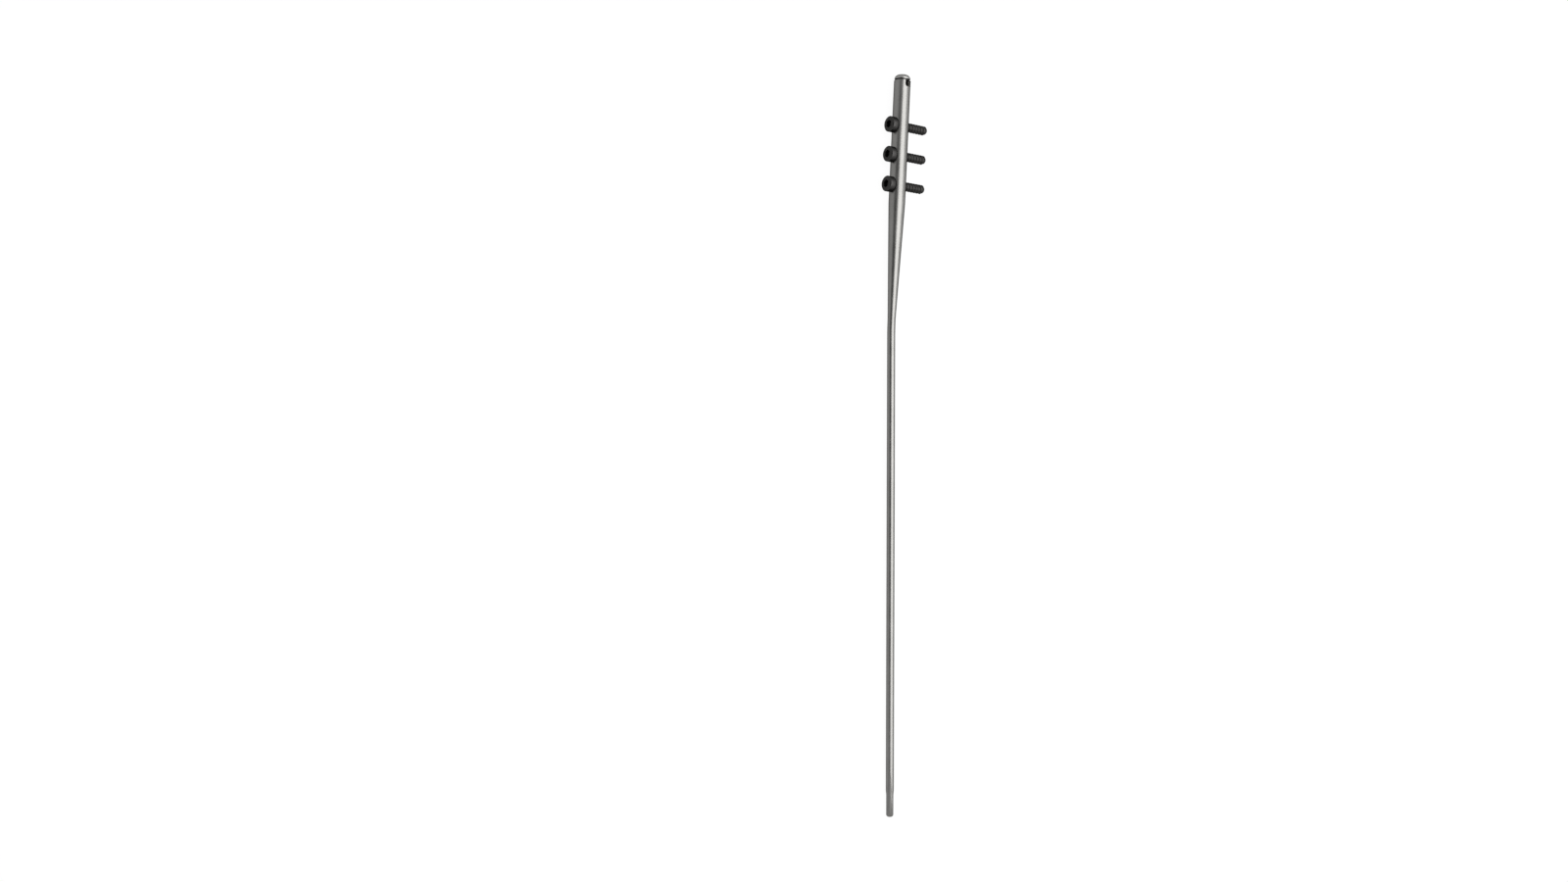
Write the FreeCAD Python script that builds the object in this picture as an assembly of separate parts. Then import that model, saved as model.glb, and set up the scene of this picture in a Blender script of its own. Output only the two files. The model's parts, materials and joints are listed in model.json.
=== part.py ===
"""Intramedullary nail with its end cap and three locking screws, lying as it comes to rest.

The nail is a round bar. Its thick barrel carries the screws, a slender cone leads into a thin shaft, and a slight
bend behind the cone lets it follow a forearm bone. Each piece is drawn in the nail's own frame first: the rim of the
barrel is at z = 0, the barrel's axis runs down -z, and the screws point along +x, with their heads on the -x side.
lay_down() then turns everything onto the table: +X runs from the cap to the tip, +Y from the heads to the screw
tips, and +Z is up.
"""
import FreeCAD, Part
import math
import os

Vector = FreeCAD.Vector
Rotation = FreeCAD.Rotation
ORIGIN = Vector(0, 0, 0)
ALONG_X = Vector(1, 0, 0)
ALONG_Y = Vector(0, 1, 0)
ALONG_Z = Vector(0, 0, 1)

# The nail's bar, in millimetres and degrees. Lengths are measured along its centre line, from the rim
NAIL_LENGTH = 247.9
BARREL_D = 5.6
SHAFT_D = 2.7
TAPER_START = 41.5
TAPER_LENGTH = 38.8
BEND_ANGLE = 3.1
BEND_RADIUS = 110.0
RIM_CHAMFER = 0.15

# The flattened, rounded tip
TIP_FLAT_LENGTH = 14.0
TIP_THICKNESS = 1.5
TIP_FLAT_TURN = 49.0
TIP_NECK_LENGTH = 9.0
TIP_NECK_SLOPE = 1.6
TIP_STEP = 0.15
TIP_CORNER = 0.75

# The bore in the barrel's top, and the key notch in its rim
BORE_DEPTH = 9.5
BORE_MOUTH_CHAMFER = 0.1
DRILL_POINT_ANGLE = 118.0
NOTCH_WIDTH = 2.6
NOTCH_DEPTH = 2.3
NOTCH_CORNER = 0.6
NOTCH_TURN = -79.0

# The end cap
CAP_D = 5.3
CAP_TOP_D = 3.3
CAP_HEIGHT = 1.85
CAP_EDGE_TOP = 0.7
CAP_GROOVE_HEIGHT = 0.4
CAP_NECK_D = 4.0
CAP_SHOULDER_BULGE = 0.2
CAP_SOCKET_AF = 1.5
CAP_SOCKET_DEPTH = 2.0
STEM_D = 3.2
STEM_LENGTH = 7.0
STEM_CHAMFER = 0.4
STEM_CLEARANCE = 0.1

# The cross holes and the screws
SCREW_COUNT = 3
FIRST_SCREW = 15.3
SCREW_SPACING = 10.0
SCREW_LENGTH = 15.9
HEAD_D = 5.25
HEAD_RIM_HEIGHT = 2.1
HEAD_CHAMFER = 0.3
HEAD_CONE_ANGLE = 90.0
SEAT_D = 5.2
SEAT_GAP = 0.08
SCREW_SOCKET_AF = 2.4
SCREW_SOCKET_DEPTH = 1.6
THREAD_D = 3.1
THREAD_CLEARANCE = 0.1
SCREW_TIP_D = 2.1
SCREW_TIP_CHAMFER = 0.6

# How far the loose pieces travel past the point where they are free
FREE_TRAVEL = 1.0

# Radii and places that follow from the sizes above
BARREL_R = BARREL_D / 2
SHAFT_R = SHAFT_D / 2
THREAD_R = THREAD_D / 2
HOLE_R = THREAD_R + THREAD_CLEARANCE
BORE_R = STEM_D / 2 + STEM_CLEARANCE
BEND_START = TAPER_START + TAPER_LENGTH
BEND_LENGTH = BEND_RADIUS * math.radians(BEND_ANGLE)
SHAFT_LENGTH = NAIL_LENGTH - BEND_START - BEND_LENGTH
CONE_SLOPE = math.tan(math.radians(HEAD_CONE_ANGLE / 2))
SEAT_LIFT = SEAT_GAP / math.sin(math.radians(HEAD_CONE_ANGLE / 2))
HEAD_CONE_TOP = BARREL_R + (HEAD_D - SEAT_D) / 2 / CONE_SLOPE + SEAT_LIFT
HEAD_FACE = HEAD_CONE_TOP + HEAD_RIM_HEIGHT
SCREW_REACH = SCREW_LENGTH - HEAD_FACE
SCREW_TRAVEL = SCREW_REACH + BARREL_R + FREE_TRAVEL
CAP_TRAVEL = STEM_LENGTH + FREE_TRAVEL
SCREW_NAMES = ["locking_screw_upper", "locking_screw_middle", "locking_screw_lower"]


def turned(profile):
    """Revolve a closed outline of (radius, height) points about the z axis."""
    points = [Vector(radius, 0, height) for radius, height in profile]
    outline = Part.makePolygon(points + points[:1])
    return Part.Face(outline).revolve(ORIGIN, ALONG_Z, 360)


def turned_with_arc(arc, corners):
    """Revolve a closed outline about the z axis: an arc through three points, then the other corners in order."""
    def place(point):
        return Vector(point[0], 0, point[1])

    edges = [Part.Arc(*[place(point) for point in arc]).toShape()]
    edges += Part.makePolygon([place(point) for point in [arc[-1]] + corners + [arc[0]]]).Edges
    return Part.Face(Part.Wire(edges)).revolve(ORIGIN, ALONG_Z, 360)


def hex_prism(across_flats, bottom, top):
    """Upright six-sided prism for a key socket."""
    corner = across_flats / 2 / math.cos(math.radians(30))
    points = [Vector(corner, 0, bottom)]
    for step in range(1, 7):
        points.append(Rotation(ALONG_Z, 60 * step).multVec(points[0]))
    return Part.Face(Part.makePolygon(points)).extrude(Vector(0, 0, top - bottom))


def socket(across_flats, floor, mouth):
    """Hexagonal key socket with a drilled point below its floor, to cut from a piece."""
    prism = hex_prism(across_flats, floor, mouth)
    point_depth = across_flats / 2 / math.tan(math.radians(DRILL_POINT_ANGLE / 2))
    point = turned([(0, floor - point_depth), (across_flats / 2, floor), (0, floor)])
    return prism.fuse(point)


def along_screw(shape, depth):
    """Turn a piece drawn with its nose up +z onto a screw's axis, at a depth below the rim."""
    placed = shape.copy()
    placed.rotate(ORIGIN, ALONG_Y, 90)
    placed.translate(Vector(0, 0, -depth))
    return placed


def past_bend(shape):
    """Carry a piece drawn straight below the bend round to the far side of it."""
    placed = shape.copy()
    placed.rotate(Vector(BEND_RADIUS, 0, -BEND_START), ALONG_Y, -BEND_ANGLE)
    return placed


def make_tip_flats(tip_end):
    """The two wedges that are milled off the tip, which leave it thinner towards its end."""
    start = tip_end + TIP_FLAT_LENGTH
    past_end = tip_end - TIP_CORNER
    thinning = (SHAFT_R - TIP_THICKNESS / 2) / TIP_FLAT_LENGTH
    outside = SHAFT_D
    inner_end = TIP_THICKNESS / 2 - thinning * TIP_CORNER
    outline = [(SHAFT_R, start), (inner_end, past_end), (outside, past_end), (outside, start)]
    points = [Vector(x, -outside, z) for x, z in outline]
    wedge = Part.Face(Part.makePolygon(points + points[:1])).extrude(Vector(0, 2 * outside, 0))
    flats = []
    for side in (0, 180):
        cutter = wedge.copy()
        cutter.rotate(ORIGIN, ALONG_Z, TIP_FLAT_TURN + side)
        flats.append(cutter)
    return flats


def make_shaft():
    """The straight shaft below the bend, down to its flattened and rounded tip."""
    top = -BEND_START
    end = top - SHAFT_LENGTH
    neck_r = SHAFT_R - TIP_STEP
    neck = end + TIP_NECK_LENGTH
    corner_x = neck_r - TIP_CORNER
    corner_z = end + TIP_CORNER
    halfway = TIP_CORNER * math.sqrt(0.5)
    arc = [(corner_x, end), (corner_x + halfway, corner_z - halfway), (neck_r, corner_z)]
    shaft = turned_with_arc(arc, [(neck_r, neck - TIP_NECK_SLOPE), (SHAFT_R, neck), (SHAFT_R, top), (0, top),
                                  (0, end)])
    return shaft.cut(make_tip_flats(end))


def make_bend():
    """The short curved stretch between the cone and the straight shaft."""
    centre = Vector(0, 0, -BEND_START)
    disc = Part.Face(Part.Wire(Part.makeCircle(SHAFT_R, centre, ALONG_Z)))
    return disc.revolve(Vector(BEND_RADIUS, 0, -BEND_START), ALONG_Y, -BEND_ANGLE)


def make_notch():
    """The key notch: a slot through one side of the wall, open at the rim, with round lower corners."""
    half = NOTCH_WIDTH / 2
    outside = BARREL_D
    blank = Part.makeBox(outside, NOTCH_WIDTH, NOTCH_DEPTH + outside, Vector(0, -half, -NOTCH_DEPTH))
    corners = [edge for edge in blank.Edges
               if abs(edge.CenterOfMass.z + NOTCH_DEPTH) < 1e-6 and abs(abs(edge.CenterOfMass.y) - half) < 1e-6]
    blank = blank.makeFillet(NOTCH_CORNER, corners)
    blank.rotate(ORIGIN, ALONG_Z, NOTCH_TURN)
    return blank


def make_cap_bore():
    """The blind bore for the cap's stem, with a chamfered mouth and a drilled point."""
    point = BORE_R / math.tan(math.radians(DRILL_POINT_ANGLE / 2))
    mouth_r = BORE_R + BORE_MOUTH_CHAMFER
    return turned([(0, 0), (mouth_r, 0), (BORE_R, -BORE_MOUTH_CHAMFER), (BORE_R, -BORE_DEPTH),
                   (0, -BORE_DEPTH - point)])


def make_cross_hole():
    """One screw's through hole with the conical seat for its head, drawn with the head side at -z."""
    outer = BARREL_R + HEAD_D
    seat_r = SEAT_D / 2
    seat_depth = (seat_r - HOLE_R) / CONE_SLOPE
    wide_r = seat_r + (outer - BARREL_R) * CONE_SLOPE
    return turned([(0, -outer), (wide_r, -outer), (HOLE_R, -BARREL_R + seat_depth), (HOLE_R, outer), (0, outer)])


def screw_depths():
    """How far below the rim each screw's axis crosses the nail's axis."""
    return [FIRST_SCREW + SCREW_SPACING * index for index in range(SCREW_COUNT)]


def make_nail():
    """The nail itself, one piece of bar from its rim to its tip."""
    rim_r = BARREL_R - RIM_CHAMFER
    upper = turned([(0, 0), (rim_r, 0), (BARREL_R, -RIM_CHAMFER), (BARREL_R, -TAPER_START),
                    (SHAFT_R, -BEND_START), (0, -BEND_START)])
    bar = upper.fuse([make_bend(), past_bend(make_shaft())]).removeSplitter()
    cutters = [make_cap_bore(), make_notch()]
    for depth in screw_depths():
        cutters.append(along_screw(make_cross_hole(), depth))
    return bar.cut(cutters)


def make_end_cap():
    """The cap: a domed disc with a groove under its edge, a stem in the bore and a key socket in its top."""
    cap_r = CAP_D / 2
    top_r = CAP_TOP_D / 2
    neck_r = CAP_NECK_D / 2
    stem_r = STEM_D / 2
    across = cap_r - top_r
    rise = CAP_HEIGHT - CAP_EDGE_TOP
    bulge = CAP_SHOULDER_BULGE / math.hypot(across, rise)
    shoulder = [(top_r, CAP_HEIGHT), (top_r + across / 2 + rise * bulge, CAP_EDGE_TOP + rise / 2 + across * bulge),
                (cap_r, CAP_EDGE_TOP)]
    body = turned_with_arc(shoulder, [(cap_r, CAP_GROOVE_HEIGHT), (neck_r, CAP_GROOVE_HEIGHT), (neck_r, 0),
                                      (stem_r, 0), (stem_r, STEM_CHAMFER - STEM_LENGTH),
                                      (stem_r - STEM_CHAMFER, -STEM_LENGTH), (0, -STEM_LENGTH), (0, CAP_HEIGHT)])
    return body.cut(socket(CAP_SOCKET_AF, CAP_HEIGHT - CAP_SOCKET_DEPTH, CAP_HEIGHT))


def make_screw():
    """One locking screw, drawn with its tip up +z and the nail's axis at z = 0."""
    head_r = HEAD_D / 2
    cone_end = -HEAD_CONE_TOP + (head_r - THREAD_R) / CONE_SLOPE
    body = turned([(0, -HEAD_FACE), (head_r - HEAD_CHAMFER, -HEAD_FACE), (head_r, -HEAD_FACE + HEAD_CHAMFER),
                   (head_r, -HEAD_CONE_TOP), (THREAD_R, cone_end), (THREAD_R, SCREW_REACH - SCREW_TIP_CHAMFER),
                   (SCREW_TIP_D / 2, SCREW_REACH), (0, SCREW_REACH)])
    key = socket(SCREW_SOCKET_AF, HEAD_FACE - SCREW_SOCKET_DEPTH, HEAD_FACE)
    key.rotate(ORIGIN, ALONG_X, 180)
    return body.cut(key)


def lowest(shape, turn):
    """Height of a shape's lowest point after a turn."""
    turned_shape = shape.transformed(FreeCAD.Placement(ORIGIN, turn).toMatrix(), True)
    return turned_shape.optimalBoundingBox(False, False).ZMin


def resting_turn():
    """The turn that brings the nail down onto the table.

    The screws' tips come down until their threads touch the plane under the barrel. The far end of the shaft then
    stands a little off that plane, and the nail tips over the lower end of its barrel until it touches too.
    """
    contact_x = SCREW_REACH - SCREW_TIP_CHAMFER
    distance = math.hypot(contact_x, THREAD_R)
    roll = math.degrees(math.asin(min(1.0, BARREL_R / distance)) - math.atan2(THREAD_R, contact_x))
    upright_to_lying = Rotation(ALONG_Y, Vector(0, 0, -1), Vector(-1, 0, 0), "XYZ")
    rolled = Rotation(ALONG_X, -roll) * upright_to_lying
    barrel = Part.makeCylinder(BARREL_R, TAPER_START, Vector(0, 0, -TAPER_START))
    gap = lowest(past_bend(make_shaft()), rolled) - lowest(barrel, rolled)
    run = NAIL_LENGTH - TAPER_START - TIP_NECK_LENGTH
    pitch = math.degrees(math.atan2(gap, run))
    return Rotation(ALONG_Y, pitch) * rolled


def lay_down(pieces):
    """Turn every piece onto the table and centre the whole on the origin, with its lowest point at z = 0."""
    turn = FreeCAD.Placement(ORIGIN, resting_turn())
    laid = {name: shape.transformed(turn.toMatrix(), True) for name, shape in pieces.items()}
    box = Part.makeCompound(list(laid.values())).optimalBoundingBox(False, False)
    shift = Vector(-box.Center.x, -box.Center.y, -box.ZMin)
    for shape in laid.values():
        shape.translate(shift)
    return laid, FreeCAD.Placement(shift, turn.Rotation)


def describe(placement, laid):
    """Print the places and directions that the mounts and the sliding pieces need, in millimetres."""
    def point(place):
        return [round(value, 4) for value in placement.multVec(place)]

    def direction(way):
        return [round(value, 6) for value in placement.Rotation.multVec(way)]

    shaft_way = Rotation(ALONG_Y, -BEND_ANGLE).multVec(Vector(0, 0, -1))
    bend_end = Rotation(ALONG_Y, -BEND_ANGLE).multVec(Vector(-BEND_RADIUS, 0, 0)) + Vector(BEND_RADIUS, 0, -BEND_START)
    print("barrel axis towards the cap", direction(ALONG_Z), "rim centre", point(ORIGIN))
    print("screws back out along", direction(Vector(-1, 0, 0)), "travel", round(SCREW_TRAVEL, 3))
    print("cap travel", round(CAP_TRAVEL, 3), "cap top", point(Vector(0, 0, CAP_HEIGHT)))
    print("shaft way", direction(shaft_way), "bend end", point(bend_end), "shaft length", round(SHAFT_LENGTH, 3))
    for depth in screw_depths():
        print("screw axis crosses the nail at", point(Vector(0, 0, -depth)))
    for name, shape in laid.items():
        print(name, "volume", round(shape.Volume, 3), "valid", shape.isValid(), "solids", len(shape.Solids))
    box = Part.makeCompound(list(laid.values())).optimalBoundingBox(False, False)
    print("box", [round(v, 3) for v in (box.XMin, box.XMax, box.YMin, box.YMax, box.ZMin, box.ZMax)])


def build():
    """Make every piece in the nail's own frame, keyed by the name of its file."""
    pieces = {"nail": make_nail(), "end_cap": make_end_cap()}
    for name, depth in zip(SCREW_NAMES, screw_depths()):
        pieces[name] = along_screw(make_screw(), depth)
    return pieces


def main():
    laid, placement = lay_down(build())
    os.makedirs("parts", exist_ok=True)
    for name, shape in laid.items():
        solid = shape.Solids[0] if len(shape.Solids) == 1 else shape
        solid.exportStep(os.path.join("parts", name + ".step"))
    describe(placement, laid)


main()
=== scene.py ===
# %% [markdown]
# A bone nail with its end cap and three locking screws, lying on a pale table.
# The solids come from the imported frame, which says where every piece lies. This script gives each piece
# the smooth form and the finish that it has in the hand: a ground bar, a turned cap and screws with real
# helical threads.

import json
import math

import bmesh
import bpy
from mathutils import Matrix, Vector


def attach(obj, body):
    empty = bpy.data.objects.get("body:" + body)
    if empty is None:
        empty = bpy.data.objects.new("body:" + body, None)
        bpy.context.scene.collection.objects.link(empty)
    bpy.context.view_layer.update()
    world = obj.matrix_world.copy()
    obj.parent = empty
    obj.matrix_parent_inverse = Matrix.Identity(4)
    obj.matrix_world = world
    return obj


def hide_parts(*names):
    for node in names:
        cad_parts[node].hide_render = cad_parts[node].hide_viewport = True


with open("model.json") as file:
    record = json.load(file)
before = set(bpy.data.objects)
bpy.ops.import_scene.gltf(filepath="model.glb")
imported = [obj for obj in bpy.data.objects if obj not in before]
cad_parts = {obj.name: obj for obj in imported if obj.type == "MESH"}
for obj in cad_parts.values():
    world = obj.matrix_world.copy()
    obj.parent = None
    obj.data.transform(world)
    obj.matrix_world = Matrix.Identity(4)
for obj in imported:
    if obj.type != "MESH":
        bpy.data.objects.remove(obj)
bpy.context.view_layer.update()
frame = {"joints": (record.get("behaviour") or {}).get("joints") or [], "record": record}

# %% [markdown]
# A maker draws each of these pieces standing up: the nail hangs down from the rim of its barrel, and the
# screws go through it along one axis. It is far easier to model them that way and to turn the finished
# mesh into place than to work at the odd angle at which they lie. The frame's mounts and joints give the
# three directions of that drawing, so one matrix, BENCH, takes millimetres in the drawing to metres on
# the table.

# %% From the drawing to the table
MM = 0.001
CAP_HEIGHT = 1.85

mounts = {mount["name"]: mount for mount in frame["record"]["mounts"]}
slides = {joint["child"]: joint for joint in frame["joints"]}
up_barrel = Vector(mounts["cap_socket"]["axis"]).normalized()
to_tips = -Vector(slides["locking_screw_upper"]["axis"]).normalized()
sideways = up_barrel.cross(to_tips).normalized()
rim_centre = Vector(mounts["cap_socket"]["pos_m"]) - up_barrel * CAP_HEIGHT * MM

BENCH = Matrix((to_tips, sideways, up_barrel)).transposed().to_4x4()
BENCH.translation = rim_centre
BENCH = BENCH @ Matrix.Scale(MM, 4)
print("rim centre in mm", [round(value / MM, 3) for value in rim_centre])

# %% [markdown]
# Nearly everything here was made on a lathe, so the main tool is a lathe too: an outline of points, each
# a radius and a height, is spun once round the axis. Points on the axis come out as many copies of one
# vertex, which a weld joins. The steps are many, because a polished bar shows every flat in its
# reflections.

# %% Lathe and weld
WELD = 1e-4
BAR_STEPS = 128
SMALL_STEPS = 72
THREAD_STEPS = 64


def tidy(bm):
    """Weld what lies together and turn every face outwards."""
    bmesh.ops.remove_doubles(bm, verts=bm.verts[:], dist=WELD)
    bmesh.ops.recalc_face_normals(bm, faces=bm.faces[:])
    return bm


def draw_outline(bm, points):
    """Join (radius, height) points by edges, ready to be spun."""
    verts = [bm.verts.new((radius, 0, height)) for radius, height in points]
    for first, second in zip(verts, verts[1:]):
        bm.edges.new((first, second))


def lathe(outline, steps):
    """Spin an outline once round the z axis."""
    bm = bmesh.new()
    draw_outline(bm, outline)
    bmesh.ops.spin(bm, geom=bm.verts[:] + bm.edges[:], cent=(0, 0, 0), axis=(0, 0, 1), dvec=(0, 0, 0),
                   angle=math.tau, steps=steps, use_merge=True, use_duplicate=False)
    return tidy(bm)


print("steps round: bar", BAR_STEPS, "cross holes", SMALL_STEPS, "threads", THREAD_STEPS)

# %% [markdown]
# Outlines need a few curves, and sharp edges need a small round, as on any tumbled or polished piece.
# Turning a mesh, making a block and rounding its edges come up often below, so each is a short function
# of its own.

# %% Curves, turns, blocks and soft edges
EDGE_ROUND = 0.05
SOFT_ANGLE = math.radians(25)


def arc(centre, radius, start, end, count):
    """Points of an arc in an outline, between two angles in degrees, 0 pointing outwards and 90 up."""
    angles = [math.radians(start + (end - start) * step / count) for step in range(count + 1)]
    return [(centre[0] + radius * math.cos(angle), centre[1] + radius * math.sin(angle))
            for angle in angles]


def bowed(start, end, bulge, count):
    """Points of an outline from one point to another, pushed outwards between them."""
    across, rise = end[0] - start[0], end[1] - start[1]
    push = 4 * bulge / math.hypot(across, rise)
    points = []
    for step in range(count + 1):
        part = step / count
        out = push * part * (1 - part)
        points.append((start[0] + across * part + rise * out, start[1] + rise * part - across * out))
    return points


def turn(bm, angle, axis):
    """Turn a whole mesh about an axis through the origin."""
    bmesh.ops.rotate(bm, cent=(0, 0, 0), matrix=Matrix.Rotation(angle, 3, axis), verts=bm.verts[:])


def block(size, place):
    """A block of a size, with its middle at a place."""
    bm = bmesh.new()
    bmesh.ops.create_cube(bm, size=1)
    bmesh.ops.scale(bm, vec=size, verts=bm.verts[:])
    bmesh.ops.translate(bm, vec=place, verts=bm.verts[:])
    return bm


def round_edges(bm, edges, width, segments):
    """Give some edges a round of a width."""
    bmesh.ops.bevel(bm, geom=edges, offset=width, offset_type="OFFSET", affect="EDGES", segments=segments,
                    profile=0.5, material=-1, clamp_overlap=True)


def soften(bm, chosen):
    """Break the sharp edges among the chosen ones."""
    edges = [edge for edge in bm.edges if edge.is_manifold and edge.calc_face_angle() > SOFT_ANGLE]
    round_edges(bm, [edge for edge in edges if chosen(edge)], EDGE_ROUND, 2)


print("sharp edges get a round of", EDGE_ROUND, "mm")

# %% [markdown]
# Holes and sockets are milled or drilled, so they are cut with solid tools: each tool is a small closed
# mesh, and an exact Boolean takes it away from the blank. The blank and the tools stay in millimetres for
# this, where the numbers are of a comfortable size, and the result comes back as a plain mesh with no
# modifier left on it.

# %% Cutting with solid tools
CLEAR = 1.0
DRILL_POINT_SHARE = 0.3


def bench_object(bm, name):
    """A throw-away object in millimetres."""
    mesh = bpy.data.meshes.new(name)
    bm.to_mesh(mesh)
    bm.free()
    item = bpy.data.objects.new(name, mesh)
    bpy.context.scene.collection.objects.link(item)
    return item


def carve(blank, tools):
    """Take every tool away from a blank and return the result as a bmesh."""
    body = bench_object(blank, "blank")
    used = [bench_object(tool, "tool") for tool in tools]
    for tool in used:
        cut = body.modifiers.new("cut", "BOOLEAN")
        cut.operation = "DIFFERENCE"
        cut.solver = "EXACT"
        cut.object = tool
    graph = bpy.context.evaluated_depsgraph_get()
    mesh = bpy.data.meshes.new_from_object(body.evaluated_get(graph))
    result = bmesh.new()
    result.from_mesh(mesh)
    for item in used + [body]:
        bpy.data.objects.remove(item)
    bpy.data.meshes.remove(mesh)
    return result


def hex_tool(across_flats, floor, mouth):
    """A six-sided key socket with a shallow drilled point under it."""
    corner = across_flats / 2 / math.cos(math.radians(30))
    drill_point = across_flats * DRILL_POINT_SHARE
    bm = bmesh.new()
    bmesh.ops.create_circle(bm, cap_ends=True, radius=corner, segments=6)
    turn(bm, math.radians(30), "Z")
    bmesh.ops.translate(bm, vec=(0, 0, floor), verts=bm.verts[:])
    walls = bmesh.ops.extrude_face_region(bm, geom=bm.faces[:])
    raised = [item for item in walls["geom"] if isinstance(item, bmesh.types.BMVert)]
    bmesh.ops.translate(bm, vec=(0, 0, mouth - floor), verts=raised)
    low = [face for face in bm.faces if all(abs(vert.co.z - floor) < WELD for vert in face.verts)]
    centre = bmesh.ops.poke(bm, faces=low)["verts"]
    bmesh.ops.translate(bm, vec=(0, 0, math.copysign(drill_point, floor - mouth)), verts=centre)
    return tidy(bm)


print("cutting tools stand", CLEAR, "mm clear of the faces they start from")

# %% [markdown]
# A thread is a lathe cut in which the tool moves along while the bar turns. Spin does the same: with dvec
# it lifts the outline a little at each step. The outline is one pitch long, so after one turn its first
# point meets the last point of the turn before, and the weld closes the surface. Two planes then trim the
# ends square, and every point outside the envelope is drawn in to it, which gives the chamfered nose and
# the run-out under the head.

# %% Helical threads
# The form of one pitch, from root to root: the drop below the crest as a share of the thread's depth, and
# the place along the screw as a share of the pitch.
THREAD_FORM = [(1, 0), (1, 0.2), (0.35, 0.37), (0.1, 0.42), (0, 0.48), (0, 0.72), (0.1, 0.78), (0.35, 0.83),
               (1, 1)]
LEAD_IN = 1.5
SPARE_TURNS = 2


def thread_outline(root, crest, pitch):
    """One pitch of a thread: a narrow root, steep flanks and a broad crest with rounded corners."""
    depth = crest - root
    return [(crest - drop * depth, along * pitch) for drop, along in THREAD_FORM]


def threaded_rod(root, crest, pitch, bottom, top, envelope):
    """An open threaded sleeve between two heights, kept inside an envelope of radius against height."""
    turns = math.ceil((top - bottom) / pitch) + SPARE_TURNS
    start = bottom - LEAD_IN * pitch
    bm = bmesh.new()
    draw_outline(bm, [(radius, start + height) for radius, height in thread_outline(root, crest, pitch)])
    bmesh.ops.spin(bm, geom=bm.verts[:] + bm.edges[:], cent=(0, 0, 0), axis=(0, 0, 1),
                   dvec=(0, 0, pitch / THREAD_STEPS), angle=math.tau * turns, steps=THREAD_STEPS * turns,
                   use_merge=False, use_duplicate=False)
    bmesh.ops.remove_doubles(bm, verts=bm.verts[:], dist=WELD)
    for height, way in ((bottom, -1), (top, 1)):
        bmesh.ops.bisect_plane(bm, geom=bm.verts[:] + bm.edges[:] + bm.faces[:], dist=WELD,
                               plane_co=(0, 0, height), plane_no=(0, 0, way), clear_outer=True)
    for vert in bm.verts:
        radius = math.hypot(vert.co.x, vert.co.y)
        allowed = envelope(vert.co.z)
        if radius > allowed:
            vert.co.x *= allowed / radius
            vert.co.y *= allowed / radius
    return tidy(bm)


print("one pitch of thread is drawn with", len(THREAD_FORM), "points")

# %% [markdown]
# The threaded sleeve is open at both ends. An end is either closed with one face, as at a screw's nose,
# or bridged to the open edge of the turned head above it, with a short sleeve between the two.

# %% Closing and joining sleeves
SEAM = 0.1


def rim_edges(bm, height):
    """The open edges of a sleeve at one height."""
    return [edge for edge in bm.edges if edge.is_boundary
            and all(abs(vert.co.z - height) < 10 * WELD for vert in edge.verts)]


def close_end(bm, height):
    """Close a sleeve with one face."""
    bmesh.ops.edgeloop_fill(bm, edges=rim_edges(bm, height))


def join_at(first, second, heights):
    """Put one bmesh into another and bridge their open rims, which lie at two heights."""
    spare = bpy.data.meshes.new("spare")
    second.to_mesh(spare)
    second.free()
    first.from_mesh(spare)
    bpy.data.meshes.remove(spare)
    bmesh.ops.bridge_loops(first, edges=rim_edges(first, heights[0]) + rim_edges(first, heights[1]))
    return tidy(first)


print("heads and threads are bridged over", SEAM, "mm")

# %% [markdown]
# The nail is one bar. Its outline is the whole story up to the bend: a small chamfer at the rim, the
# barrel, a long slender cone, the thin shaft, and a neck that steps down to the rounded end. Every
# stretch is divided into rows, so that it can bend later without creases.

# %% The nail's bar
NAIL_LENGTH = 247.9
BARREL_R = 2.8
SHAFT_R = 1.35
RIM_CHAMFER = 0.15
TAPER_START = 41.5
BEND_START = 80.3
BEND_ANGLE = math.radians(3.1)
BEND_RADIUS = 110.0
NECK_LENGTH = 9.0
NECK_SLOPE = 1.6
NECK_STEP = 0.15
TIP_CORNER = 0.75
TIP_ROWS = 8
BEND_ROWS = 12
SHAFT_ROWS = 24
BARREL_ROWS = 42


def bar_outline():
    """The straight bar's outline, from the rim's centre down to the tip."""
    end = -NAIL_LENGTH
    neck_r = SHAFT_R - NECK_STEP
    bend_length = BEND_RADIUS * BEND_ANGLE
    shaft_end = end + NECK_LENGTH
    shaft_start = -BEND_START - bend_length
    outline = [(0, 0), (BARREL_R - RIM_CHAMFER, 0)]
    outline += [(BARREL_R, -RIM_CHAMFER - (TAPER_START - RIM_CHAMFER) * row / BARREL_ROWS)
                for row in range(BARREL_ROWS + 1)]
    outline += [(BARREL_R + (SHAFT_R - BARREL_R) * row / SHAFT_ROWS,
                 -TAPER_START - (BEND_START - TAPER_START) * row / SHAFT_ROWS)
                for row in range(1, SHAFT_ROWS + 1)]
    outline += [(SHAFT_R, -BEND_START - bend_length * row / BEND_ROWS) for row in range(1, BEND_ROWS + 1)]
    outline += [(SHAFT_R, shaft_start + (shaft_end - shaft_start) * row / SHAFT_ROWS)
                for row in range(1, SHAFT_ROWS + 1)]
    outline += [(neck_r, shaft_end - NECK_SLOPE)]
    outline += arc((neck_r - TIP_CORNER, end + TIP_CORNER), TIP_CORNER, 0, -90, TIP_ROWS)
    return outline + [(0, end)]


bar = lathe(bar_outline(), BAR_STEPS)
print("bar:", len(bar.faces), "faces before it is cut")

# %% [markdown]
# Five kinds of cut are made in the bar, and each tool is shaped like the cutter that would do it. The
# first is at the tip, which is milled thinner on two opposite sides, so that it finds its way down a
# narrow canal. A long block, tilted a little, does one side.

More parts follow.
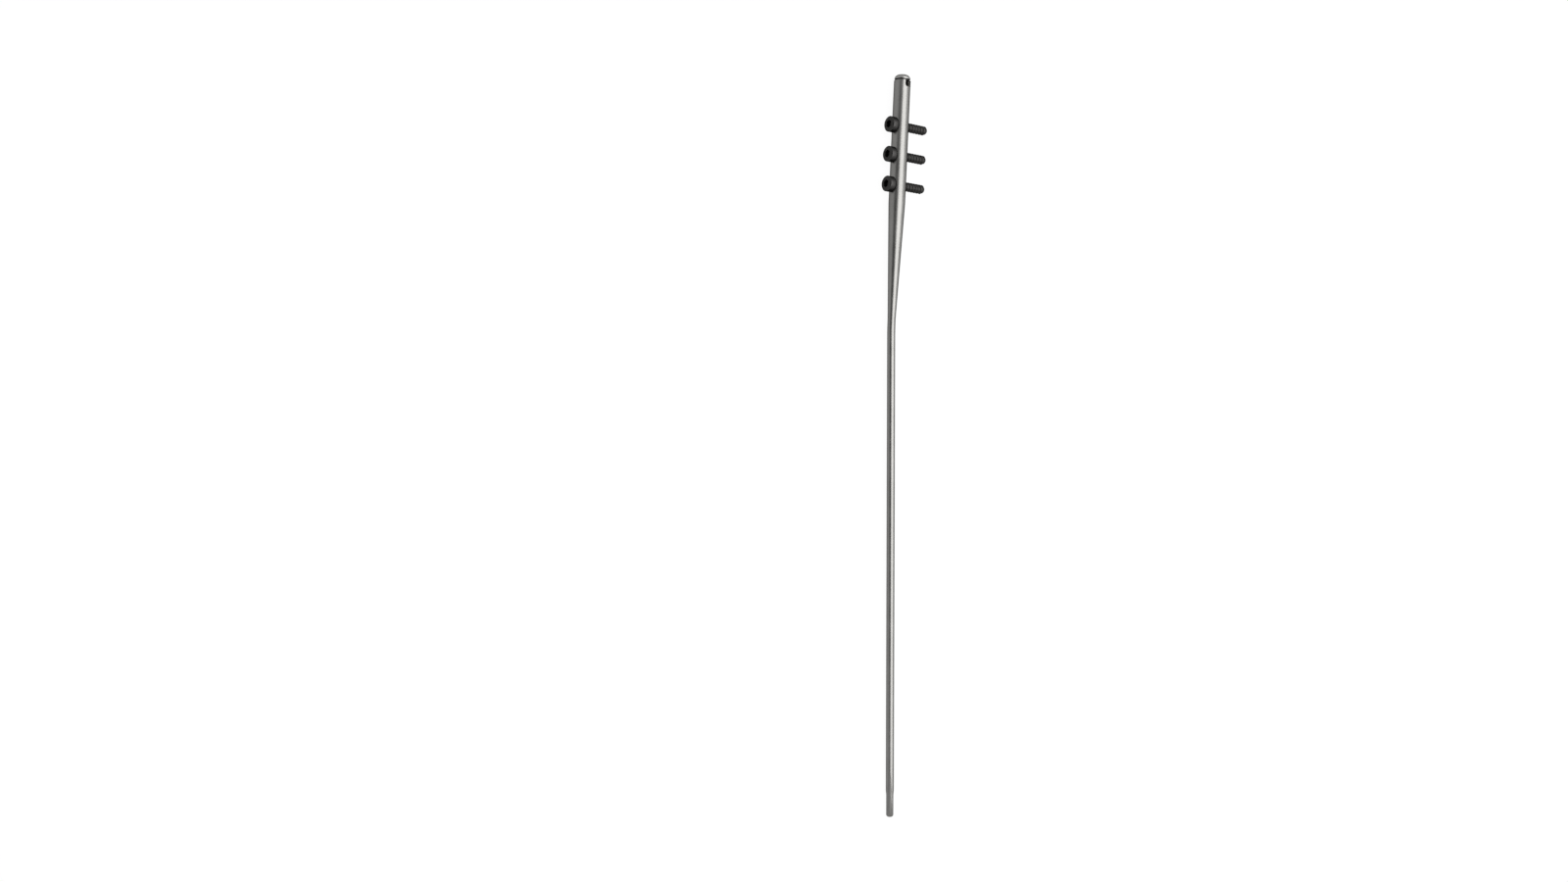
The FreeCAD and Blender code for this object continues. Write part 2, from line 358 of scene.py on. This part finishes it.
# %% Tool for the flats of the tip
FLAT_LENGTH = 14.0
TIP_THICKNESS = 1.5
FLAT_TURN = math.radians(49.0)
FLAT_BLOCK = (2.0, 6.0, 2 * FLAT_LENGTH)


def flat_tool(side):
    """A wedge that thins one side of the tip, evenly down to the end."""
    thinning = (SHAFT_R - TIP_THICKNESS / 2) / FLAT_LENGTH
    bm = block(FLAT_BLOCK, (FLAT_BLOCK[0] / 2, 0, -FLAT_LENGTH))
    turn(bm, math.atan(thinning), "Y")
    bmesh.ops.translate(bm, vec=(SHAFT_R, 0, FLAT_LENGTH - NAIL_LENGTH), verts=bm.verts[:])
    turn(bm, FLAT_TURN + side, "Z")
    return bm


nail_tools = [flat_tool(0), flat_tool(math.pi)]
print("the tip goes from", 2 * SHAFT_R, "to", TIP_THICKNESS, "mm over", FLAT_LENGTH, "mm")

# %% [markdown]
# A blind bore with a thread takes the cap's stem. It is made as in a workshop: first a drill with a
# pointed end and a countersink, then a tap. The tap is the helical thread again, a little larger than the
# bore and with both ends tapered to nothing.

# %% Drill and tap for the bore
BORE_R = 1.7
BORE_DEPTH = 9.5
BORE_MOUTH = 0.1
DRILL_TIP = 0.6
BORE_THREAD_PITCH = 0.7
BORE_THREAD_DEPTH = 0.2
TAP_UNDERLAP = 0.05
TAP_END = 0.1


def drill_tool():
    """The bore with its pointed floor, and a countersink at its mouth."""
    mouth = BORE_R + BORE_MOUTH
    return lathe([(0, -BORE_DEPTH - DRILL_TIP * BORE_R), (BORE_R, -BORE_DEPTH), (BORE_R, -BORE_MOUTH),
                  (mouth + CLEAR, CLEAR), (0, CLEAR)], THREAD_STEPS)


def tap_tool():
    """The tap that threads the bore."""
    root = BORE_R - TAP_UNDERLAP
    crest = BORE_R + BORE_THREAD_DEPTH
    bottom = -BORE_DEPTH + 2 * BORE_THREAD_PITCH
    top = -BORE_MOUTH - TAP_END

    def envelope(height):
        return min(crest, root + (height - bottom), root + (top - height))

    bm = threaded_rod(root, crest, BORE_THREAD_PITCH, bottom, top, envelope)
    close_end(bm, bottom)
    close_end(bm, top)
    return tidy(bm)


nail_tools += [drill_tool(), tap_tool()]
print("bore:", 2 * BORE_R, "mm wide and", BORE_DEPTH, "mm deep")

# %% [markdown]
# A notch in the rim keys the handle that drives the nail in. A slot mill leaves it with round lower
# corners, so the tool is a block with its two lower edges rounded. It is turned to where the notch sits
# on the rim.

# %% Tool for the notch
NOTCH_WIDTH = 2.6
NOTCH_DEPTH = 2.3
NOTCH_CORNER = 0.6
NOTCH_TURN = math.radians(-79.0)
NOTCH_BLOCK = (4.0, NOTCH_WIDTH, 2 * NOTCH_DEPTH)


def notch_tool():
    """A slot mill for the rim, open upwards."""
    bm = block(NOTCH_BLOCK, (NOTCH_BLOCK[0] / 2, 0, 0))
    corners = [edge for edge in bm.edges if all(vert.co.z < 0 for vert in edge.verts)
               and abs(edge.verts[0].co.y - edge.verts[1].co.y) < WELD]
    round_edges(bm, corners, NOTCH_CORNER, 8)
    turn(bm, NOTCH_TURN, "Z")
    return bm


nail_tools += [notch_tool()]
print("notch:", NOTCH_WIDTH, "mm wide and", NOTCH_DEPTH, "mm deep")

# %% [markdown]
# Three cross holes have conical seats, in which the screws' heads sink. The tool is a drill and a
# countersink in one, turned on the lathe and then laid across the barrel. With this the blank can be cut.

# %% Cross holes, and the cut
HOLE_R = 1.65
SEAT_R = 2.6
HOLE_TOOL_REACH = 2.5
SCREW_DEPTHS = {"locking_screw_upper": 15.3, "locking_screw_middle": 25.3, "locking_screw_lower": 35.3}


def hole_tool(depth):
    """A drill and countersink in one, laid across the barrel at a depth below the rim."""
    outer = HOLE_TOOL_REACH * BARREL_R
    seat_floor = -BARREL_R + SEAT_R - HOLE_R
    bm = lathe([(0, -outer), (SEAT_R + outer - BARREL_R, -outer), (HOLE_R, seat_floor), (HOLE_R, outer),
                (0, outer)], SMALL_STEPS)
    turn(bm, math.radians(90), "Y")
    bmesh.ops.translate(bm, vec=(0, 0, -depth), verts=bm.verts[:])
    return bm


nail_tools += [hole_tool(depth) for depth in SCREW_DEPTHS.values()]
nail_mesh = tidy(carve(bar, nail_tools))
print("nail, still straight:", len(nail_mesh.faces), "faces")

# %% [markdown]
# The bend comes last, as it does in the workshop: the finished straight bar is laid round a former. Every
# point below the bend's start moves onto an arc, and what lies past the arc goes straight on.

# %% Bend the nail


def bent(point):
    """Where a point of the straight bar lies once the bar is bent."""
    past = -BEND_START - point.z
    if past <= 0:
        return point
    angle = min(past / BEND_RADIUS, BEND_ANGLE)
    straight = past - angle * BEND_RADIUS
    reach = BEND_RADIUS - point.x
    x = BEND_RADIUS - reach * math.cos(angle) + straight * math.sin(angle)
    z = -BEND_START - reach * math.sin(angle) - straight * math.cos(angle)
    return Vector((x, point.y, z))


for vert in nail_mesh.verts:
    vert.co = bent(vert.co)
print("nail: open edges", sum(not edge.is_manifold for edge in nail_mesh.edges))

# %% [markdown]
# The end cap is a turned button with a domed shoulder. Its edge stands a little above the rim on a
# narrower neck, which leaves a groove round it, whose shade is painted into the colour further down. A
# threaded stem under it goes into the bore. A hex key goes into its top. The small round on its edges is
# what catches the light on the real one.

# %% The end cap
CAP_R = 2.65
CAP_TOP_R = 1.65
CAP_EDGE_TOP = 0.7
CAP_GROOVE = 0.4
CAP_NECK_R = 2.0
CAP_SHOULDER_BULGE = 0.2
CAP_SHOULDER_ROWS = 6
CAP_SOCKET_AF = 1.5
CAP_SOCKET_DEPTH = 2.0
STEM_R = 1.6
STEM_ROOT_R = 1.3
STEM_PITCH = 0.7
STEM_LENGTH = 7.0
STEM_RELIEF = 0.6
STEM_UNDERCUT = 0.1
STEM_FADE = 0.8
STEM_NOSE = 0.4


def stem_envelope(height):
    """The stem's thread fades in below the relief and ends in a small nose."""
    nose = STEM_R - STEM_NOSE + (height + STEM_LENGTH)
    start = STEM_ROOT_R + STEM_FADE * (-STEM_RELIEF - height)
    return min(STEM_R, nose, max(start, STEM_ROOT_R))


def cap_mesh():
    shoulder = bowed((CAP_R, CAP_EDGE_TOP), (CAP_TOP_R, CAP_HEIGHT), CAP_SHOULDER_BULGE, CAP_SHOULDER_ROWS)
    under = [(STEM_ROOT_R, -STEM_RELIEF), (STEM_ROOT_R, -STEM_UNDERCUT), (STEM_R, 0), (CAP_NECK_R, 0),
             (CAP_NECK_R, CAP_GROOVE), (CAP_R, CAP_GROOVE)]
    head = lathe(under + shoulder + [(0, CAP_HEIGHT)], THREAD_STEPS)
    soften(head, lambda edge: edge.verts[0].co.z > CAP_GROOVE - WELD)
    stem_top = -STEM_RELIEF - SEAM
    stem = threaded_rod(STEM_ROOT_R, STEM_R, STEM_PITCH, -STEM_LENGTH, stem_top, stem_envelope)
    close_end(stem, -STEM_LENGTH)
    whole = join_at(head, stem, (-STEM_RELIEF, stem_top))
    return tidy(carve(whole, [hex_tool(CAP_SOCKET_AF, CAP_HEIGHT - CAP_SOCKET_DEPTH, CAP_HEIGHT + CLEAR)]))


cap = cap_mesh()
print("cap:", len(cap.faces), "faces, open edges", sum(not edge.is_manifold for edge in cap.edges))

# %% [markdown]
# The three screws are equal, so one mesh is made and placed three times. The head is a short cylinder
# with a broken front edge and a conical underside, which follows the seat in the barrel with a small even
# gap. Below it comes a plain neck, and then the thread, which fades in over nearly half a turn and ends
# in a blunt nose.

# %% One locking screw
HEAD_R = 2.625
HEAD_CHAMFER = 0.3
HEAD_RIM = 2.1
SEAT_GAP = 0.08
HEAD_CONE_TOP = BARREL_R + (HEAD_R - SEAT_R) + SEAT_GAP * math.sqrt(2)
HEAD_FACE = HEAD_CONE_TOP + HEAD_RIM
SCREW_LENGTH = 15.9
SCREW_REACH = SCREW_LENGTH - HEAD_FACE
THREAD_R = 1.55
THREAD_ROOT_R = 1.25
THREAD_PITCH = 1.2
THREAD_FADE = 0.6
NOSE_R = 1.05
NOSE_LENGTH = 0.6
SCREW_NECK = 0.7
SCREW_NECK_CONE = 0.3
NECK_START = -HEAD_CONE_TOP + HEAD_R - THREAD_R
THREAD_START = NECK_START + SCREW_NECK
SOCKET_AF = 2.4
SOCKET_DEPTH = 1.6


def screw_envelope(height):
    """The screw's thread fades in under the neck and ends in a chamfered nose."""
    nose = NOSE_R + (THREAD_R - NOSE_R) * (SCREW_REACH - height) / NOSE_LENGTH
    fade = THREAD_ROOT_R + THREAD_FADE * (height - THREAD_START)
    return min(THREAD_R, nose, fade)


def screw_mesh():
    head = lathe([(0, -HEAD_FACE), (HEAD_R - HEAD_CHAMFER, -HEAD_FACE), (HEAD_R, -HEAD_FACE + HEAD_CHAMFER),
                  (HEAD_R, -HEAD_CONE_TOP), (THREAD_R, NECK_START),
                  (THREAD_ROOT_R, NECK_START + SCREW_NECK_CONE), (THREAD_ROOT_R, THREAD_START - SEAM)],
                 THREAD_STEPS)
    soften(head, lambda edge: edge.verts[0].co.z < -HEAD_CONE_TOP + WELD)
    rod = threaded_rod(THREAD_ROOT_R, THREAD_R, THREAD_PITCH, THREAD_START, SCREW_REACH, screw_envelope)
    close_end(rod, SCREW_REACH)
    whole = join_at(head, rod, (THREAD_START - SEAM, THREAD_START))
    return tidy(carve(whole, [hex_tool(SOCKET_AF, -HEAD_FACE + SOCKET_DEPTH, -HEAD_FACE - CLEAR)]))


screw = screw_mesh()
print("screw:", len(screw.faces), "faces, open edges", sum(not edge.is_manifold for edge in screw.edges))

# %% [markdown]
# The finishes are built from shader nodes. Writing each node in four lines hides what a material does, so
# one helper makes a node with its settings and its inputs at once, and a second one starts an empty node
# group.

# %% Helpers for shader nodes


def add_node(tree, kind, inputs=None, **settings):
    """A node with its settings and inputs. An input is a plain value or the output of another node."""
    node = tree.nodes.new(kind)
    for label, value in settings.items():
        setattr(node, label, value)
    for label, value in (inputs or {}).items():
        if isinstance(value, bpy.types.NodeSocket):
            tree.links.new(value, node.inputs[label])
        else:
            node.inputs[label].default_value = value
    return node


def new_group(name, inputs, outputs):
    """An empty shader node group with named sockets. An input is a label, a kind and a value or None."""
    group = bpy.data.node_groups.new(name, "ShaderNodeTree")
    for label, kind, value in inputs:
        made = group.interface.new_socket(label, in_out="INPUT", socket_type=kind)
        if value is not None:
            made.default_value = value
    for label, kind in outputs:
        group.interface.new_socket(label, in_out="OUTPUT", socket_type=kind)
    return group, group.nodes.new("NodeGroupInput").outputs, group.nodes.new("NodeGroupOutput").inputs


print("helpers ready: add_node, new_group")

# %% [markdown]
# Metal looks real through small unevenness: the marks that the grinding wheel or the lathe left, and a
# faint haze of handling. All the metals here use the same two patterns at their own scale, so both are
# node groups. The first gives marks drawn out along one direction: the coordinates are squeezed along it
# before a noise reads them.

# %% Shared pattern: tool marks


def tool_marks_group():
    """Fine marks that run along the pattern's own x axis, and a mask of where they are deep."""
    group, given, out = new_group(
        "tool_marks",
        [("Vector", "NodeSocketVector", None), ("Length", "NodeSocketFloat", 12.0),
         ("Spacing", "NodeSocketFloat", 0.08)],
        [("Height", "NodeSocketFloat"), ("Mask", "NodeSocketFloat")])
    across = add_node(group, "ShaderNodeMath", {0: 1.0, 1: given["Spacing"]}, operation="DIVIDE").outputs[0]
    along = add_node(group, "ShaderNodeMath", {0: 1.0, 1: given["Length"]}, operation="DIVIDE").outputs[0]
    stretch = add_node(group, "ShaderNodeCombineXYZ", {"X": along, "Y": across, "Z": across})
    scaled = add_node(group, "ShaderNodeVectorMath", {0: given["Vector"], 1: stretch.outputs[0]},
                      operation="MULTIPLY")
    noise = add_node(group, "ShaderNodeTexNoise",
                     {"Scale": 1.0, "Detail": 4.0, "Roughness": 0.6, "Vector": scaled.outputs[0]})
    deep = add_node(group, "ShaderNodeMapRange",
                    {"From Min": 0.35, "From Max": 0.65, "Value": noise.outputs["Fac"]})
    group.links.new(noise.outputs["Fac"], out["Height"])
    group.links.new(deep.outputs["Result"], out["Mask"])
    return group


TOOL_MARKS = tool_marks_group()
print("group", TOOL_MARKS.name, "with", len(TOOL_MARKS.nodes), "nodes")

# %% [markdown]
# The second pattern is a slow, cloudy change, several millimetres across, as fingers and cleaning leave
# it. It is a plain noise with its contrast raised by a smooth step.

# %% Shared pattern: haze


def haze_group():
    """A cloudy mask, several millimetres across."""
    group, given, out = new_group(
        "haze",
        [("Vector", "NodeSocketVector", None), ("Size", "NodeSocketFloat", 6.0)],
        [("Mask", "NodeSocketFloat")])
    scale = add_node(group, "ShaderNodeMath", {0: 1.0, 1: given["Size"]}, operation="DIVIDE").outputs[0]
    noise = add_node(group, "ShaderNodeTexNoise",
                     {"Detail": 3.0, "Vector": given["Vector"], "Scale": scale})
    soft = add_node(group, "ShaderNodeMapRange",
                    {"From Min": 0.35, "From Max": 0.7, "Value": noise.outputs["Fac"]},
                    interpolation_type="SMOOTHSTEP")
    group.links.new(soft.outputs["Result"], out["Mask"])
    return group


HAZE = haze_group()
print("group", HAZE.name, "with", len(HAZE.nodes), "nodes")

# %% [markdown]
# Both patterns need a place to start from. A Mapping node turns the object's coordinates into the
# drawing's, in millimetres, so that marks on the bar run along it and marks on a screw or the cap run
# round its axis. For a turned piece the marks are read by radius and height, which is why it gets rings,
# while the bar gets long straight lines.

# %% Where the marks run


def drawing_mapping(tree, matrix):
    """Object coordinates taken back to a piece's own drawing, in millimetres."""
    back = matrix.inverted()
    place = add_node(tree, "ShaderNodeTexCoord")
    turned = add_node(tree, "ShaderNodeMapping",
                      {"Location": back.translation, "Rotation": back.to_euler("XYZ"),
                       "Scale": back.to_scale(), "Vector": place.outputs["Object"]}, vector_type="POINT")
    return turned.outputs["Vector"]


def marks_place(tree, place, ringed):
    """Where the tool marks are read, and the height in the drawing."""
    split = add_node(tree, "ShaderNodeSeparateXYZ", {0: place}).outputs
    if ringed:
        flat = add_node(tree, "ShaderNodeCombineXYZ", {"X": split["X"], "Y": split["Y"]})
        radius = add_node(tree, "ShaderNodeVectorMath", {0: flat.outputs[0]}, operation="LENGTH")
        parts = {"Y": radius.outputs["Value"], "Z": split["Z"]}
    else:
        parts = {"X": split["Z"], "Y": split["X"], "Z": split["Y"]}
    return add_node(tree, "ShaderNodeCombineXYZ", parts).outputs[0], split["Z"]


print("marks run straight along the bar and in rings round the turned pieces")

# %% [markdown]
# The dark of the groove under the cap's edge is painted shade: its colour is darkened there, where the gap
# would be in shadow. A mask finds it by its height in the drawing: 1 between two heights, 0 outside them,
# with a narrow soft border.

# %% Painted shade in the cap's groove
# The colour painted into the groove as its shade, and the width of that shade's soft border.
GROOVE_PAINTED_SHADE = (0.05, 0.048, 0.046, 1)
GROOVE_SHADE_BORDER = 0.04


def painted_groove_shade_mask(tree, height, band):
    """1 between two heights of the drawing, 0 outside them."""
    half = (band[1] - band[0]) / 2
    middle = add_node(tree, "ShaderNodeMath", {0: height, 1: sum(band) / 2}, operation="SUBTRACT")
    away = add_node(tree, "ShaderNodeMath", {0: middle.outputs[0]}, operation="ABSOLUTE")
    inside = add_node(tree, "ShaderNodeMapRange",
                      {"From Min": half, "From Max": half + GROOVE_SHADE_BORDER, "To Min": 1.0, "To Max": 0.0,
                       "Value": away.outputs[0]})
    return inside.outputs["Result"]


def with_painted_groove_shade(tree, colour, height, band):
    """A colour with painted groove shade laid over it."""
    mixed = add_node(tree, "ShaderNodeMix",
                     {"B": GROOVE_PAINTED_SHADE, "Factor": painted_groove_shade_mask(tree, height, band), "A": colour},
                     data_type="RGBA")
    return mixed.outputs["Result"]


print("groove from the rim up to", CAP_GROOVE, "mm")

# %% [markdown]
# Each finish is one Principled shader, fully metallic. The two patterns carry its colour between a dark
# and a light tone, and its roughness between a smooth and a rough one, and the marks also give a very
# shallow relief. The bar is ground, the cap is turned from a slightly paler steel, and the screws are
# dark charcoal.

# %% Metal finishes
EDGE_TINT = 0.25
RELIEF = 0.005 * MM
GROUND_STEEL = {"dark": (0.168, 0.166, 0.16), "light": (0.205, 0.202, 0.195), "rough": (0.24, 0.34),
                "length": 14.0, "spacing": 0.05, "bump": 0.12, "ringed": False}
TURNED_STEEL = {"dark": (0.235, 0.232, 0.225), "light": (0.287, 0.283, 0.273), "rough": (0.26, 0.38),
                "length": 6.0, "spacing": 0.06, "bump": 0.25, "ringed": True}
CHARCOAL = {"dark": (0.033, 0.032, 0.031), "light": (0.049, 0.048, 0.047), "rough": (0.3, 0.45),
            "length": 4.0, "spacing": 0.05, "bump": 0.3, "ringed": True}


def half_and_half(tree, first, second):
    """The mean of two masks."""
    half = add_node(tree, "ShaderNodeMath", {0: second, 1: 0.5}, operation="MULTIPLY")
    return add_node(tree, "ShaderNodeMath", {0: first, 1: 0.5, 2: half.outputs[0]},
                    operation="MULTIPLY_ADD").outputs[0]


def metal(name, matrix, finish, groove=None):
    """A satin metal with the marks of its making. groove is a band of heights painted dark as shade."""
    made = bpy.data.materials.new(name)
    made.use_nodes = True
    tree = made.node_tree
    place = drawing_mapping(tree, matrix)
    marked, height = marks_place(tree, place, finish["ringed"])
    marks = add_node(tree, "ShaderNodeGroup",
                     {"Length": finish["length"], "Spacing": finish["spacing"], "Vector": marked},
                     node_tree=TOOL_MARKS)
    cloud = add_node(tree, "ShaderNodeGroup", {"Vector": place}, node_tree=HAZE)
    blend = half_and_half(tree, marks.outputs["Mask"], cloud.outputs["Mask"])
    colour = add_node(tree, "ShaderNodeMix",
                      {"A": (*finish["dark"], 1), "B": (*finish["light"], 1), "Factor": blend},
                      data_type="RGBA").outputs["Result"]
    # The groove band gets painted shade: its colour is darkened there.
    if groove:
        colour = with_painted_groove_shade(tree, colour, height, groove)
    roughness = add_node(tree, "ShaderNodeMapRange",
                         {"To Min": finish["rough"][0], "To Max": finish["rough"][1], "Value": blend})
    relief = add_node(tree, "ShaderNodeBump",
                      {"Strength": finish["bump"], "Distance": RELIEF, "Height": marks.outputs["Height"]})
    shader = tree.nodes["Principled BSDF"]
    shader.inputs["Metallic"].default_value = 1.0
    shader.inputs["Specular Tint"].default_value = (EDGE_TINT, EDGE_TINT, EDGE_TINT, 1)
    tree.links.new(colour, shader.inputs["Base Color"])
    tree.links.new(roughness.outputs["Result"], shader.inputs["Roughness"])
    tree.links.new(relief.outputs["Normal"], shader.inputs["Normal"])
    return made


nail_steel = metal("nail_satin_steel", BENCH, GROUND_STEEL)
print(nail_steel.name, "has", len(nail_steel.node_tree.nodes), "nodes")

# %% [markdown]
# The finished meshes go to the table: each is transformed by its own matrix, so its object stays at the
# origin. Faces are shaded smooth, and edges sharper than the limit stay crisp. Every piece takes the
# place of its solid and rides on the same body, so it moves with its joint.

# %% Put the pieces in place
CRISP = math.radians(32)
LAID_ACROSS = Matrix.Rotation(math.radians(90), 4, "Y")


def finished(bm, name, matrix, material, node):
    """A finished piece of the object: placed, shaded, painted, and carried by its own body of the frame."""
    bmesh.ops.transform(bm, matrix=matrix, verts=bm.verts[:])
    mesh = bpy.data.meshes.new(name)
    bm.to_mesh(mesh)
    bm.free()
    mesh.shade_smooth()
    mesh.set_sharp_from_angle(angle=CRISP)
    mesh.materials.append(material)
    piece = bpy.data.objects.new(name, mesh)
    bpy.context.scene.collection.objects.link(piece)
    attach(piece, node)
    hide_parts(node)
    print(name, len(mesh.polygons), "faces")


finished(nail_mesh, "nail_bar", BENCH, nail_steel, "nail")

# The cap's groove, from the rim up, gets painted shade.
cap_steel = metal("cap_turned_steel", BENCH, TURNED_STEEL, groove=(0, CAP_GROOVE))
finished(cap, "end_cap_turned", BENCH, cap_steel, "end_cap")

for node, depth in SCREW_DEPTHS.items():
    matrix = BENCH @ Matrix.Translation((0, 0, -depth)) @ LAID_ACROSS
    charcoal = metal(node + "_charcoal", matrix, CHARCOAL)
    finished(screw.copy(), node + "_threaded", matrix, charcoal, node)
screw.free()

# %% [markdown]
# The table is one pale plane. Its colour is plain and pale, and it looks clean white where a camera, a
# glossy or a transmission ray meets it: there the plane gives a strength of 1 instead of what falls on
# it, all but a small share, which keeps a trace of the nail's shadow.

# %% The table
TABLE_HALF = 2.0
TABLE_COLOUR = (0.82, 0.82, 0.82, 1)
CLEAN_WHITE = 0.96


def seen_directly(tree):
    """1 where a camera, glossy or transmission ray looks, 0 for the light that falls on other things."""
    path = add_node(tree, "ShaderNodeLightPath").outputs
    first = add_node(tree, "ShaderNodeMath", {0: path["Is Camera Ray"], 1: path["Is Glossy Ray"]},
                     operation="MAXIMUM")
    return add_node(tree, "ShaderNodeMath", {0: first.outputs[0], 1: path["Is Transmission Ray"]},
                    operation="MAXIMUM").outputs[0]


def table_white():
    """A matt pale finish that is seen as clean white."""
    made = bpy.data.materials.new("table_white")
    made.use_nodes = True
    tree = made.node_tree
    tree.nodes.remove(tree.nodes["Principled BSDF"])
    matt = add_node(tree, "ShaderNodeBsdfDiffuse", {"Color": TABLE_COLOUR})
    white = add_node(tree, "ShaderNodeEmission")
    share = add_node(tree, "ShaderNodeMath", {0: seen_directly(tree), 1: CLEAN_WHITE}, operation="MULTIPLY")
    mixed = add_node(tree, "ShaderNodeMixShader", {"Fac": share.outputs[0], 1: matt.outputs[0],
                                                   2: white.outputs[0]})
    tree.links.new(mixed.outputs[0], tree.nodes["Material Output"].inputs["Surface"])
    return made


def make_table():
    bm = bmesh.new()
    bmesh.ops.create_grid(bm, x_segments=1, y_segments=1, size=TABLE_HALF)
    mesh = bpy.data.meshes.new("table")
    bm.to_mesh(mesh)
    bm.free()
    mesh.materials.append(table_white())
    table = bpy.data.objects.new("table", mesh)
    bpy.context.scene.collection.objects.link(table)


make_table()
print("table", 2 * TABLE_HALF, "m wide")

# %% [markdown]
# The camera stands where the photographer stood: over the nail, a little to the screw heads' side, close
# enough for some perspective. Its place is given as a distance, an elevation and two small turns about
# the point it looks at.

# %% The camera
AIM = Vector((0.000161, -0.040161, 0))
VIEW_DISTANCE = 0.5
VIEW_ELEVATION = math.radians(61.864)
VIEW_TURN = math.radians(0.976)
VIEW_ROLL = math.radians(2.584)
SENSOR_WIDTH = 36.0
LENS = 35.3025
CLIP_NEAR = 0.01
CLIP_FAR = 20


def make_camera():
    """Make the camera and return the direction from the nail back to it."""
    back = Vector((math.sin(VIEW_TURN), -math.cos(VIEW_ELEVATION) * math.cos(VIEW_TURN),
                   math.sin(VIEW_ELEVATION) * math.cos(VIEW_TURN)))
    level_right = (-back).cross(Vector((-1, 0, 0))).normalized()
    level_up = level_right.cross(-back)
    right = level_right * math.cos(VIEW_ROLL) + level_up * math.sin(VIEW_ROLL)
    upward = level_up * math.cos(VIEW_ROLL) - level_right * math.sin(VIEW_ROLL)
    data = bpy.data.cameras.new("camera")
    data.sensor_width = SENSOR_WIDTH
    data.lens = LENS
    data.clip_start = CLIP_NEAR
    data.clip_end = CLIP_FAR
    camera = bpy.data.objects.new("camera", data)
    pose = Matrix((right, upward, back)).transposed().to_4x4()
    pose.translation = AIM + back * VIEW_DISTANCE
    camera.matrix_world = pose
    bpy.context.scene.collection.objects.link(camera)
    bpy.context.scene.camera = camera
    return back


camera_back = make_camera()
print("camera at", [round(value, 4) for value in bpy.context.scene.camera.matrix_world.translation])

# %% [markdown]
# Metal has no colour of its own to show: what it reflects is its look. A satin bar in a white room would
# be one flat tone, so the white room gets one soft dark patch overhead, like a dark card that a
# photographer holds up. Where it falls across the bar's width depends on how far round from the camera it
# stands: half of that angle is the tilt of the metal that mirrors it. The room lights other things at its
# own level and is seen as white.

# %% The room
ROOM_LEVEL = 0.78
DARK_SHARE = 0.077
DARK_WIDTH = 33.0
DARK_CORE = 0.25
DARK_ROUND = -20.5
DARK_SHIFT = -0.03
DARK_ASPECT = 1.4


def round_from_camera(degrees):
    """The direction that many degrees to the right of the camera, turned about the bar."""
    return Matrix.Rotation(math.radians(degrees), 3, Vector((-1, 0, 0))) @ camera_back


def make_room(dark_way):
    """A white world with one soft dark patch, drawn out along the bar."""
    world = bpy.data.worlds.new("room")
    bpy.context.scene.world = world
    world.use_nodes = True
    tree = world.node_tree
    place = add_node(tree, "ShaderNodeTexCoord")
    squeeze = add_node(tree, "ShaderNodeVectorMath",
                       {0: place.outputs["Generated"], 1: (DARK_ASPECT, 1, 1)}, operation="MULTIPLY")
    even = add_node(tree, "ShaderNodeVectorMath", {0: squeeze.outputs[0]}, operation="NORMALIZE")
    facing = add_node(tree, "ShaderNodeVectorMath", {0: even.outputs[0], 1: dark_way},
                      operation="DOT_PRODUCT")
    patch = add_node(tree, "ShaderNodeMapRange",
                     {"From Min": math.cos(math.radians(DARK_WIDTH)),
                      "From Max": math.cos(math.radians(DARK_WIDTH * DARK_CORE)),
                      "To Min": 1.0, "To Max": DARK_SHARE, "Value": facing.outputs["Value"]},
                     interpolation_type="SMOOTHSTEP")
    level = add_node(tree, "ShaderNodeMix", {"Factor": seen_directly(tree), "A": ROOM_LEVEL, "B": 1.0},
                     data_type="FLOAT")
    strength = add_node(tree, "ShaderNodeMath", {0: level.outputs["Result"], 1: patch.outputs["Result"]},
                        operation="MULTIPLY")
    background = tree.nodes["Background"]
    background.inputs["Color"].default_value = (1, 1, 1, 1)
    tree.links.new(strength.outputs[0], background.inputs["Strength"])


make_room((round_from_camera(DARK_ROUND) + Vector((DARK_SHIFT, 0, 0))).normalized())
print("room level", ROOM_LEVEL, "with a dark patch", DARK_WIDTH, "degrees wide to each side")

# %% [markdown]
# A long soft light draws the bright line down the whole bar. It lies parallel to the bar, so that its
# reflection is one even line. A second, weak one stands further round on the same side and lifts the
# bar's far edge, which would otherwise be too dark.

# %% The lights
LIGHT_DISTANCE = 0.7
LIGHT_LENGTH = 0.98
LIGHT_SHIFT = -0.16
STRIP_ROUND = 42.0
STRIP_WIDTH = 0.74
STRIP_POWER = 7.7
FAR_ROUND = 90.0
FAR_WIDTH = 0.55
FAR_POWER = 0.85


def soft_light(name, way, width, power):
    """A rectangular lamp that faces the bar, its long side along it, shifted towards one end."""
    data = bpy.data.lights.new(name, "AREA")
    data.shape = "RECTANGLE"
    data.size = LIGHT_LENGTH
    data.size_y = width
    data.energy = power
    lamp = bpy.data.objects.new(name, data)
    out = way.normalized()
    widthwise = out.cross(Vector((1, 0, 0))).normalized()
    lengthwise = widthwise.cross(out).normalized()
    pose = Matrix((lengthwise, widthwise, out)).transposed().to_4x4()
    pose.translation = out * LIGHT_DISTANCE + lengthwise * LIGHT_SHIFT
    lamp.matrix_world = pose
    lamp.visible_camera = False
    bpy.context.scene.collection.objects.link(lamp)


soft_light("strip_light", round_from_camera(STRIP_ROUND), STRIP_WIDTH, STRIP_POWER)
soft_light("edge_light", round_from_camera(FAR_ROUND), FAR_WIDTH, FAR_POWER)
print("lamps of", STRIP_POWER, "and", FAR_POWER, "watts")

bpy.context.scene.view_settings.view_transform = "Standard"
